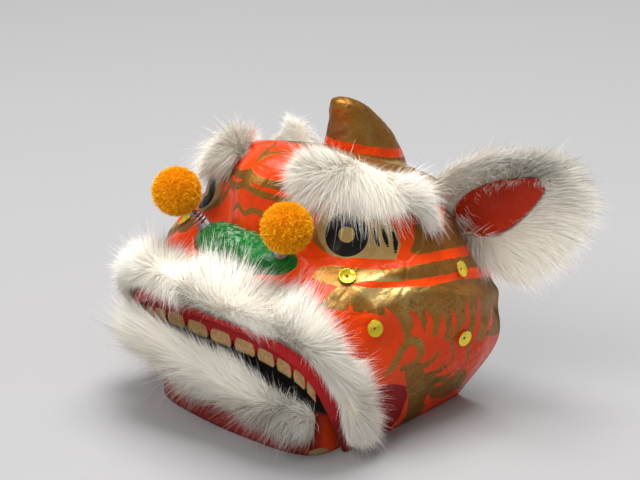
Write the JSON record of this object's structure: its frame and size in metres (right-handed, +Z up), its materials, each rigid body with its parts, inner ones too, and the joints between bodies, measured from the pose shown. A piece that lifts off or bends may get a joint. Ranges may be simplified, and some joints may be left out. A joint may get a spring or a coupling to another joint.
{
  "type": "lion dance head",
  "caption": "Small painted papier-mache lion dance head with hinged jaw, horn, fur lips, brows and ears, sprung pompoms and sequins.",
  "frame": {"origin": "the middle of the whole head's footprint, on the surface that it stands on", "axes": "+Z up; -Y is the way the face looks; +X is the lion's left side"},
  "size_m": [0.2273, 0.1738, 0.1518],
  "materials": {
    "painted_shell": "orange-red lacquer with dull gold strokes over papier-mache, slightly crumpled gloss, raw paper inside",
    "gold_horn": "dull gold paint over papier-mache with an orange-red band and a brighter gold roll at the base",
    "green_nose": "glossy green lacquer, crumpled",
    "tooth_card": "tan card, painted red between the teeth",
    "painted_jaw": "dark red lacquer over papier-mache, frayed tan paper at the ends",
    "bamboo": "bare split bamboo",
    "white_fur": "long white rabbit fur on its hide, slightly creamy",
    "ear_card": "red painted card, satin",
    "black_tape": "matt black tape and blackened wire",
    "spring_wire": "bare steel wire, slightly dull",
    "yellow_wool": "trimmed orange-yellow wool pile",
    "sequin": "metallised yellow-gold cupped sequin"
  },
  "bodies": {
    "head": {"head_shell": "painted_shell", "horn": "gold_horn", "nose": "green_nose", "upper_teeth": "tooth_card", "jaw_rod": "bamboo", "lip_fur": "white_fur", "brow_fur_left": "white_fur", "brow_fur_right": "white_fur", "ear_fur_left": "white_fur", "ear_fur_right": "white_fur", "ear_leaf_left": "ear_card", "ear_leaf_right": "ear_card", "spring_base_left": "black_tape", "spring_base_right": "black_tape", "spring_left": "spring_wire", "spring_right": "spring_wire", "stem_left": "black_tape", "stem_right": "black_tape", "pompom_left": "yellow_wool", "pompom_right": "yellow_wool", "sequin_snout_left": "sequin", "sequin_snout_right": "sequin", "sequin_temple_left": "sequin", "sequin_temple_right": "sequin", "sequin_cheek_front_left": "sequin", "sequin_cheek_front_right": "sequin", "sequin_cheek_back_left": "sequin", "sequin_cheek_back_right": "sequin"},
    "jaw": {"lower_jaw": "painted_jaw", "jaw_fur": "white_fur"}
  },
  "joints": [
    {"name": "jaw_hinge", "type": "hinge", "parent": "head", "child": "jaw", "pos_m": [0, 0.00336, 0.009], "axis": [1, 0, 0], "range_deg": [-2, 22]}
  ]
}
